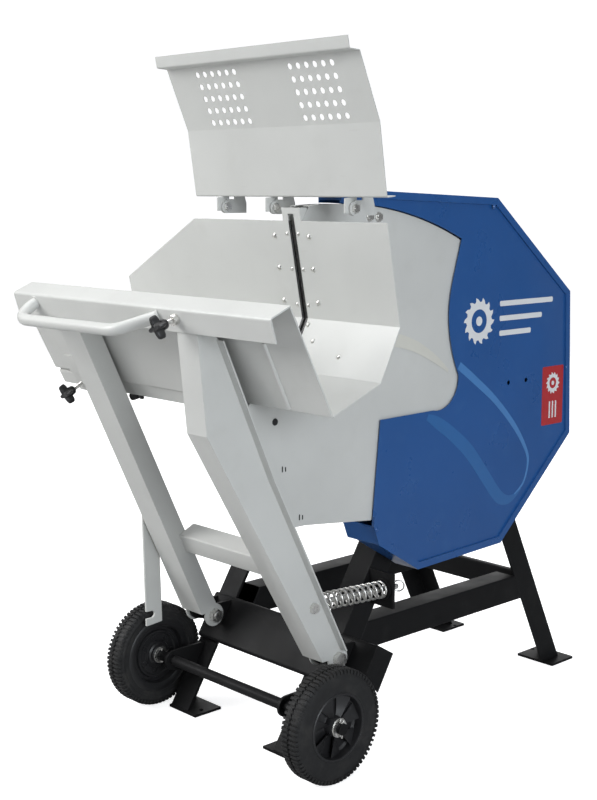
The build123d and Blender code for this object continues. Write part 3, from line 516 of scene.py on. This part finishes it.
def pocket(shape, place, angle, level):
    """Raised square frame of a moulding pocket on the inner disc."""
    turn = place @ Matrix.Rotation(angle, 4, "Z") @ Matrix.Translation((34 * MM, 0, level))
    for u, v, wide, tall in ((-5, 0, 1, 11), (5, 0, 1, 11), (0, -5, 9, 1), (0, 5, 9, 1)):
        corners = [(u - wide / 2, v - tall / 2), (u + wide / 2, v - tall / 2)]
        corners += [(u + wide / 2, v + tall / 2), (u - wide / 2, v + tall / 2)]
        plate(shape, [(a * MM, b * MM) for a, b in corners], turn, -2 * MM, 0.5 * MM)


def axle_ends():
    """Wide washers and split pins at the axle's ends, with collars inside the wheels."""
    low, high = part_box("axle")
    middle = (low + high) / 2
    for side, end, outward in (("left", low.x, -1), ("right", high.x, 1)):
        hub_low, hub_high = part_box(f"hub_{side}")
        inner, outer = (hub_high.x, hub_low.x) if side == "left" else (hub_low.x, hub_high.x)
        shape = bmesh.new()
        place = facing((outer - outward * 1.2 * MM, middle.y, middle.z), (outward, 0, 0))
        washer(shape, place, 10.2 * MM, 16.5 * MM, 2 * MM)
        split_pin(shape, facing((end - outward * 3.5 * MM, middle.y, middle.z), (outward, 0, 0)), 12.5)
        add_piece(f"axle_end_{side}", shape, "stand", "zinc")
        collar = bmesh.new()
        place = facing((inner - outward * 0.6 * MM, middle.y, middle.z), (-outward, 0, 0))
        washer(collar, place, 10 * MM, 16 * MM, 2.5 * MM)
        split_pin(collar, place @ Matrix.Translation((0, 0, 5 * MM)), 14)
        add_piece(f"axle_collar_{side}", collar, "stand", "zinc")


def split_pin(shape, place, reach):
    """Bent wire pin through the axle, reaching past it on both sides."""
    levels = [reach * (i / 7 - 1) for i in range(15)]
    line = [place @ Vector((0.4 * MM * math.sin(i), level * MM, 0)) for i, level in enumerate(levels)]
    tube(shape, line, 1.5 * MM, 10)


# ---- spring, knobs and small hardware -----------------------------------------------------
SPRING_COILS = 13
WIRE = 2.1 * MM
COIL_RADIUS = 14.5 * MM
ROD_GUIDE = (0.208, -0.202, 0.281)
SPRING_START = 22.2 * MM
SPRING_LENGTH = 166 * MM


def spring():
    """Helical spring with closed ends, from the washer on the rod to its seat on the stand."""
    eye = Vector(JOINTS["spring_rod_swing"]["pos_m"])
    axis = (Vector(ROD_GUIDE) - eye).normalized()
    start = eye + axis * SPRING_START
    place = facing(start, axis)
    steps = SPRING_COILS * 24
    points = []
    for i in range(steps + 1):
        turns = SPRING_COILS * i / steps
        angle = 2 * math.pi * turns
        across = (COIL_RADIUS * math.cos(angle), COIL_RADIUS * math.sin(angle))
        points.append(place @ Vector((*across, spring_level(turns, SPRING_LENGTH))))
    shape = bmesh.new()
    tube(shape, points, WIRE, 10)
    stands_for = ["return_spring"]
    coil = add_piece("return_spring_coil", shape, "spring_rod", "zinc", stands_for=stands_for, sharp=60)
    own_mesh(coil)


def spring_level(turns, length):
    """Height of the wire along the axis: closed end turns and an even pitch between."""
    closed = 2 * WIRE
    pitch = (length - 2 * closed) / (SPRING_COILS - 2)
    if turns <= 1:
        return closed * turns
    if turns >= SPRING_COILS - 1:
        return length - closed * (SPRING_COILS - turns)
    return closed + pitch * (turns - 1)


# Millimetres below the knob's top, and the share of the full outline there.
KNOB_SECTION = ((14, 0.86), (12.6, 0.97), (10, 1.0), (4, 0.98))
KNOB_SECTION += ((1, 0.9), (0, 0.72), (1.2, 0.45), (1.6, 0.12))


def star_knob(name, head_top):
    """Four-armed clamping knob with a steel stud, its head ending at head_top from the root."""
    joint = JOINTS[f"{name}_knob_turn"]
    place = facing(joint["pos_m"], joint["axis"])
    shape = bmesh.new()
    outline = []
    for i in range(64):
        angle = 2 * math.pi * i / 64
        lobe = 0.5 + 0.5 * math.cos(4 * (angle - math.radians(20)))
        radius = (7.8 + 11.5 * lobe**1.9) * MM
        outline.append((radius * math.cos(angle), radius * math.sin(angle)))
    rings = []
    for drop, scale in KNOB_SECTION:
        level = head_top - drop * MM
        rings.append([shape.verts.new(place @ Vector((u * scale, v * scale, level))) for u, v in outline])
    bridge(shape, rings)
    shape.faces.new(rings[0])
    shape.faces.new(rings[-1])
    foot = head_top - 24 * MM
    neck = [(foot, 1 * MM), (foot, 7 * MM), (foot + 2 * MM, 8 * MM)]
    neck += [(foot + 10 * MM, 9 * MM), (foot + 12 * MM, 1 * MM)]
    turned(shape, neck, place, 32)
    grip = f"{name}_star_knob"
    add_piece(f"{name}_knob_grip", shape, f"{name}_knob", "black_plastic", stands_for=[grip])
    thread = bmesh.new()
    turned(thread, thread_profile(-3 * MM, foot + 4 * MM, 3.9 * MM), place, 24)
    add_piece(f"{name}_knob_stud", thread, f"{name}_knob", "zinc")


def thread_profile(low, high, radius):
    """Screw thread drawn as close rings."""
    pitch = 1.25 * MM
    profile = [(low, 0.2 * MM)]
    count = int((high - low) / pitch)
    for i in range(count):
        profile.append((low + i * pitch, radius - 0.6 * MM))
        profile.append((low + (i + 0.5) * pitch, radius))
    profile.append((high, 0.2 * MM))
    return profile


def washer(shape, place, inner, outer, thick):
    chamfer = 0.3 * MM
    turned(
        shape,
        [(0, inner), (0, outer), (thick - chamfer, outer), (thick, outer - chamfer), (thick, inner)],
        place,
        40,
    )


def hex_head(shape, place, flats, height):
    """Hexagon head with its chamfered crown."""
    reach = flats / math.sqrt(3)
    outline = polygon(reach, 6, math.radians(30))
    crown = polygon(flats / 2 * 0.97, 36, math.radians(30))
    rings = []
    hexagon = [pick_on(outline, i / 36) for i in range(36)]
    levels = ((0, hexagon, 1.0), (height * 0.82, hexagon, 1.0))
    levels += ((height, crown, 1.0), (height * 0.97, crown, 0.5))
    for level, ring, scale in levels:
        rings.append([shape.verts.new(place @ Vector((u * scale, v * scale, level))) for u, v in ring])
    bridge(shape, rings)
    shape.faces.new(rings[0])
    shape.faces.new(rings[-1])


def pick_on(outline, share):
    """Point at a share of the way round a polygon with equal sides."""
    position = share * len(outline)
    i = int(position) % len(outline)
    t = position - int(position)
    (u0, v0), (u1, v1) = outline[i], outline[(i + 1) % len(outline)]
    return (u0 + (u1 - u0) * t, v0 + (v1 - v0) * t)


# ---- handle, slot cap and guard fittings ----------------------------------------------------
HANDLE_BAR = 10 * MM
HANDLE_BEND = 44 * MM
BEAD_RIPPLES = 22
CAP_FRONT = -0.4206
CAP_X = (0.1762, 0.2188)
CAP_SLOT_X = (0.1885, 0.2065)
CAP_SHEET = 2 * MM
CAP_HEIGHT = 30 * MM
CAP_DEPTH = 17 * MM
BACK_WALL_LEAN = 0.194
GUARD_FACE = 0.2201


def rounded_path(corners, radius, steps=10):
    """Straight runs joined by round bends of one radius."""
    corners = [Vector(corner) for corner in corners]
    path = [corners[0]]
    for before, corner, after in zip(corners, corners[1:], corners[2:]):
        into = (before - corner).normalized()
        out = (after - corner).normalized()
        half = into.angle(out) / 2
        centre = corner + (into + out).normalized() * (radius / math.sin(half))
        start = corner + into * (radius / math.tan(half)) - centre
        end = corner + out * (radius / math.tan(half)) - centre
        sweep = start.angle(end)
        for i in range(steps + 1):
            share = i / steps
            weights = (math.sin((1 - share) * sweep), math.sin(share * sweep))
            path.append(centre + (start * weights[0] + end * weights[1]) / math.sin(sweep))
    path.append(corners[-1])
    return path


def push_handle():
    """Bent round bar welded to the beam, with a bead round each end."""
    low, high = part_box("push_handle")
    left, right, front = low.x + HANDLE_BAR, high.x - 30 * MM, low.y + HANDLE_BAR
    level = low.z + HANDLE_BAR
    ends = [(left, high.y + 1 * MM, level + 26 * MM), (right, high.y + 1 * MM, level + 25 * MM)]
    shape = bmesh.new()
    bends = [(left, front, level), (right - 54 * MM, front, level + 2 * MM)]
    path = rounded_path([ends[0], *bends, ends[1]], HANDLE_BEND)
    tube(shape, path, HANDLE_BAR, 24)
    for at, toward in ((path[0], path[1]), (path[-1], path[-2])):
        root = at + (toward - at).normalized() * 2 * MM
        weld_ring(shape, facing(root, toward - at), HANDLE_BAR + 0.5 * MM)
    add_piece("push_handle_bar", shape, "cradle", "grey_paint", stands_for=["push_handle"], sharp=50)


def weld_ring(shape, place, radius):
    """Rippled bead round a bar."""
    steps = 96
    ring = []
    for i in range(steps):
        turn = 2 * math.pi * i / steps
        swell = radius + 0.5 * MM * math.sin(BEAD_RIPPLES * turn)
        ring.append(place @ Vector((swell * math.cos(turn), swell * math.sin(turn), 0)))
    tube(shape, ring, 2 * MM, 8, closed=True)


def slot_cap():
    """Folded sides and rear of the little box above the blade slot, open on top."""
    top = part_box("bed_back_panel")[1].z
    foot = top - CAP_HEIGHT
    back = CAP_FRONT + CAP_DEPTH
    shift = BACK_WALL_LEAN * CAP_HEIGHT
    shape = bmesh.new()
    across = Matrix(((0, 0, 1, 0), (1, 0, 0, 0), (0, 1, 0, 0), (0, 0, 0, 1)))
    side = [(CAP_FRONT, top), (back, top), (back + shift, foot), (CAP_FRONT + shift, foot)]
    for x in (CAP_X[0], CAP_X[1] - CAP_SHEET):
        plate(shape, side, across, x, x + CAP_SHEET)
    rear = [(back - CAP_SHEET, top), (back, top), (back + shift, foot), (back + shift - CAP_SHEET, foot)]
    for x in ((CAP_X[0], CAP_SLOT_X[0]), (CAP_SLOT_X[1], CAP_X[1])):
        plate(shape, rear, across, *x)
    add_piece("slot_cap_box", shape, "cradle", "grey_paint")


def guard_bolts():
    """Two low bolt heads with washers near the top of the guard."""
    shape = bmesh.new()
    for y, z in ((-0.260, 0.9465), (-0.2385, 0.945)):
        place = facing((GUARD_FACE, y, z), (1, 0, 0))
        washer(shape, place, 3.8 * MM, 8.5 * MM, 1.2 * MM)
        hex_head(shape, place @ Matrix.Translation((0, 0, 1.1 * MM)), 13 * MM, 3.2 * MM)
    add_piece("guard_top_bolts", shape, "cradle", "zinc")


def guard_openings():
    """Plug on the guard beside the right arm, and thin black film painted as the shade inside two pairs of tie
    slots.
    """
    place = facing((GUARD_FACE, -0.4771, 0.6195), (1, 0, 0))
    plug = bmesh.new()
    dome = [(0, 0.3 * MM), (0, 6 * MM), (1 * MM, 5.6 * MM), (1.4 * MM, 3.5 * MM), (1.5 * MM, 0.3 * MM)]
    turned(plug, dome, place, 32)
    add_piece("guard_plug", plug, "cradle", "black_plastic")
    # The tie slots are not cut: each is a flat black film, painted shade where an opening would look dark.
    for i, (y, z) in enumerate(((-457.5, 539), (-419.3, 452))):
        bars = [rounded_box((y - 5, y - 2.5), (z - 5, z + 5), 1)]
        bars.append(rounded_box((y + 2, y + 4.5), (z - 5, z + 3), 1))
        slot_shade_name = f"guard_tie_slot_shade_{i}"
        flat_print(slot_shade_name, bars, GUARD_FACE, "cradle", "black_plastic", MATERIALS["black_plastic"])


# ---- printed graphics ---------------------------------------------------------------------
FACE = "casing_cover"
FILM = 0.25 * MM
PRINT_LIFT = 0.05 * MM
BAND_DEPTH = 4 * MM
GUARD_DEPTH = 15.5 * MM


def ribbon(name, stations, x, body, slot, material):
    """Printed stripe: stations hold Y, Z and width in millimetres."""
    path = smooth_path(stations, 12)
    shape = bmesh.new()
    left, right = [], []
    for i, (y, z, width) in enumerate(path):
        y0, z0, _ = path[max(i - 1, 0)]
        y1, z1, _ = path[min(i + 1, len(path) - 1)]
        length = math.hypot(y1 - y0, z1 - z0) or 1.0
        dy, dz = -(z1 - z0) / length * width / 2, (y1 - y0) / length * width / 2
        left.append((y + dy, z + dz))
        right.append((y - dy, z - dz))
    outline = [(y * MM, z * MM) for y, z in left + right[::-1]]
    levels = [[shape.verts.new((level, y, z)) for y, z in outline] for level in (x, x + FILM)]
    half = len(left)
    for ring in levels:
        for i in range(half - 1):
            shape.faces.new((ring[i], ring[i + 1], ring[-i - 2], ring[-i - 1]))
    bridge(shape, levels)
    add_piece(name, shape, body, slot, material)


def flat_print(name, outlines, x, body, slot, material):
    shape = bmesh.new()
    place = Matrix(((0, 0, 1, x), (1, 0, 0, 0), (0, 1, 0, 0), (0, 0, 0, 1)))
    for outline in outlines:
        plate(shape, [(u * MM, v * MM) for u, v in outline], place, 0, FILM)
    add_piece(name, shape, body, slot, material)


def rounded_box(y, z, corner):
    """Rectangle with round corners, y and z being (low, high)."""
    points = []
    for cy, cz, start in ((y[1], z[1], 0), (y[0], z[1], 90), (y[0], z[0], 180), (y[1], z[0], 270)):
        sy = cy - corner if cy == y[1] else cy + corner
        sz = cz - corner if cz == z[1] else cz + corner
        for step in range(5):
            turn = math.radians(start + 22.5 * step)
            points.append((sy + corner * math.cos(turn), sz + corner * math.sin(turn)))
    return points


def blade_icon(name, centre, radius, x, material):
    """Generic saw-blade sign: a ring with raked teeth."""
    shape = bmesh.new()
    teeth = 14
    outer, inner = [], []
    for i in range(teeth):
        for share, reach in ((0.0, 1.0), (0.3, 0.93), (0.62, 0.80), (0.92, 0.84)):
            angle = -2 * math.pi * (i + share) / teeth
            outer.append((radius * reach * math.cos(angle), radius * reach * math.sin(angle)))
            inner.append((radius * 0.5 * math.cos(angle), radius * 0.5 * math.sin(angle)))
    rings = []
    for level in (x, x + FILM):
        for ring in (outer, inner):
            placed = [(level, (centre[0] + u) * MM, (centre[1] + v) * MM) for u, v in ring]
            rings.append([shape.verts.new(point) for point in placed])
    bridge(shape, [rings[0], rings[1], rings[3], rings[2], rings[0]])
    add_piece(name, shape, "stand", "blue_paint", material)
    dot = bmesh.new()
    place = Matrix(((0, 0, 1, x), (1, 0, 0, 0), (0, 1, 0, 0), (0, 0, 0, 1)))
    spot = [(centre[0] + u, centre[1] + v) for u, v in polygon(radius * 0.2, 32)]
    plate(dot, [(u * MM, v * MM) for u, v in spot], place, 0, FILM)
    add_piece(f"{name}_centre", dot, "stand", "blue_paint", material)


def graphics():
    """Stripes, a plain red label and a generic blade sign on the casing."""
    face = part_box(FACE)[1].x - BAND_DEPTH + PRINT_LIFT
    guard_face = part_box("guard_cheek_right")[0].x + GUARD_DEPTH
    light = [(-27, 672, 15), (16, 643, 15), (82, 595, 13), (143, 537, 11), (181, 484, 8), (185, 454, 6)]
    light += [(172, 422, 5), (146, 404, 3)]
    ribbon("casing_stripe_light", light, face, "stand", "blue_paint", PRINT["light_blue"])
    dark = [(166, 412, 2), (147, 401, 9), (126, 396, 17), (104, 402, 24), (84, 419, 26), (58, 449, 26)]
    dark += [(6, 507, 27), (-43, 546, 25), (-84, 572, 22), (-112, 586, 12)]
    ribbon("casing_stripe_dark", dark, face - 0.1 * MM, "stand", "blue_paint", PRINT["mid_blue"])
    cream = [(-250, 735, 20), (-205, 733, 24), (-165, 724, 22)]
    cream += [(-128, 710, 19), (-84, 686, 13), (-52, 664, 5)]
    ribbon("guard_stripe", cream, guard_face, "cradle", "grey_paint", PRINT["cream"])
    label = rounded_box((226, 294), (529, 646), 3)
    flat_print("size_label_blank", [label], face, "stand", "blue_paint", PRINT["red"])
    blade_icon("label_blade_sign", (260, 612), 22, face + 0.2 * MM, PRINT["white"])
    bars = [rounded_box((249 + 10 * i, 253 + 10 * i), (542, 576), 1.5) for i in range(3)]
    flat_print("label_bars", bars, face + 0.2 * MM, "stand", "blue_paint", PRINT["white"])
    blade_icon("casing_blade_sign", (28, 750), 44, face, PRINT["white"])
    stripes = [rounded_box((88, 252 - 34 * i), (774 - 28 * i, 784 - 28 * i), 3) for i in range(3)]
    flat_print("casing_sign_bars", stripes, face, "stand", "blue_paint", PRINT["white"])


# ---- studio -------------------------------------------------------------------------------
def sweep_paper():
    """Pale paper that looks bright to the camera but throws little light back."""
    paper = Surface("studio_paper", 0.9)
    seen = paper.tree.nodes.new("ShaderNodeLightPath").outputs["Is Camera Ray"]
    pale = paper.mix(paper.noise(0.6, 3), (0.80, 0.80, 0.80), (0.83, 0.83, 0.83))
    paper.colour(paper.mix(seen, (0.42, 0.42, 0.42), pale))
    paper.feed(paper.shader.inputs["Emission Color"], (1, 1, 1, 1))
    paper.feed(paper.shader.inputs["Emission Strength"], paper.times(seen, 0.75))
    paper.bump(paper.noise(0.02, 4), 0.2 * MM, 0.3)
    return paper.material


def studio_floor():
    """Round floor that curves up into a wall, alike from every side."""
    radius, curve, wall = 9.0, 3.0, 6.0
    outline = [(0.01, 0.0), (radius - curve, 0.0)]
    for i in range(1, 13):
        turn = math.radians(7.5 * i)
        outline.append((radius - curve + curve * math.sin(turn), curve - curve * math.cos(turn)))
    outline.append((radius, wall))
    shape = bmesh.new()
    rings = []
    for reach, height in outline:
        ring = polygon(reach, 96)
        rings.append([shape.verts.new((u, v, height - 0.3 * MM)) for u, v in ring])
    bridge(shape, rings)
    shape.faces.new(rings[0])
    bmesh.ops.recalc_face_normals(shape, faces=shape.faces)
    mesh = bpy.data.meshes.new("studio_floor")
    shape.to_mesh(mesh)
    shape.free()
    mesh.flip_normals()
    mesh.shade_smooth()
    mesh.materials.append(sweep_paper())
    floor = bpy.data.objects.new("studio_floor", mesh)
    bpy.context.scene.collection.objects.link(floor)


def area_light(name, place, aim, size, power, tint=(1, 1, 1)):
    data = bpy.data.lights.new(name, "AREA")
    data.shape = "RECTANGLE"
    data.size, data.size_y = size
    data.energy = power
    data.color = tint
    light = bpy.data.objects.new(name, data)
    bpy.context.scene.collection.objects.link(light)
    light.location = place
    light.rotation_euler = (Vector(aim) - Vector(place)).to_track_quat("-Z", "Y").to_euler()


def lighting():
    """Overhead softbox, a key from the operator's left, a cool fill and a lamp behind."""
    area_light("overhead_softbox", (-0.5, -0.6, 3.4), (0, -0.2, 0.5), (3.0, 3.0), 64)
    area_light("left_key", (-2.2, -3.4, 2.4), (0, -0.2, 0.75), (2.2, 2.0), 128)
    area_light("right_fill", (4.4, -1.6, 1.6), (0, 0, 0.6), (2.2, 2.0), 112, (0.9, 0.95, 1.0))
    area_light("back_wall", (-3.2, 4.2, 1.5), (0, 0, 0.5), (4.5, 2.6), 60)
    world = bpy.data.worlds.new("studio_world")
    world.use_nodes = True
    background = world.node_tree.nodes["Background"]
    background.inputs["Color"].default_value = (0.93, 0.96, 1.0, 1)
    background.inputs["Strength"].default_value = 0.4
    bpy.context.scene.world = world
    bpy.context.scene.view_settings.view_transform = "Standard"


# Lens and sensor in millimetres, place in metres, angles in degrees.
LENS, SENSOR = 60.75, 36
EYE = (1.8209, -1.9179, 0.9928)
TILT, HEADING = 81.1, 47


def camera():
    """Camera low on the operator's right, about 2.6 m away."""
    data = bpy.data.cameras.new("camera")
    data.lens = LENS
    data.sensor_width = SENSOR
    eye = bpy.data.objects.new("camera", data)
    eye.location = EYE
    eye.rotation_euler = (math.radians(TILT), 0, math.radians(HEADING))
    bpy.context.scene.collection.objects.link(eye)
    bpy.context.scene.camera = eye


# ---- assembly -----------------------------------------------------------------------------
REBUILT = {"tyre_left", "tyre_right", "hub_left", "hub_right", "return_spring", "push_handle"}
REBUILT |= {"upper_star_knob", "lower_star_knob", "floor_star_knob"}


def dress_nodes():
    for node, thing in NODES.items():
        if node in REBUILT:
            continue
        if node in PLAIN_NODES:
            finish_mesh(thing.data, MATERIALS[SLOT_OF[node]], 30)
        else:
            soft_copy(node)


dress_nodes()
for wheel_side in ("left", "right"):
    tyre(wheel_side)
    hub(wheel_side)
axle_ends()
spring()
star_knob("upper", 44 * MM)
star_knob("lower", 44 * MM)
star_knob("floor", 56 * MM)
push_handle()
slot_cap()
guard_bolts()
guard_openings()
graphics()
studio_floor()
lighting()
camera()
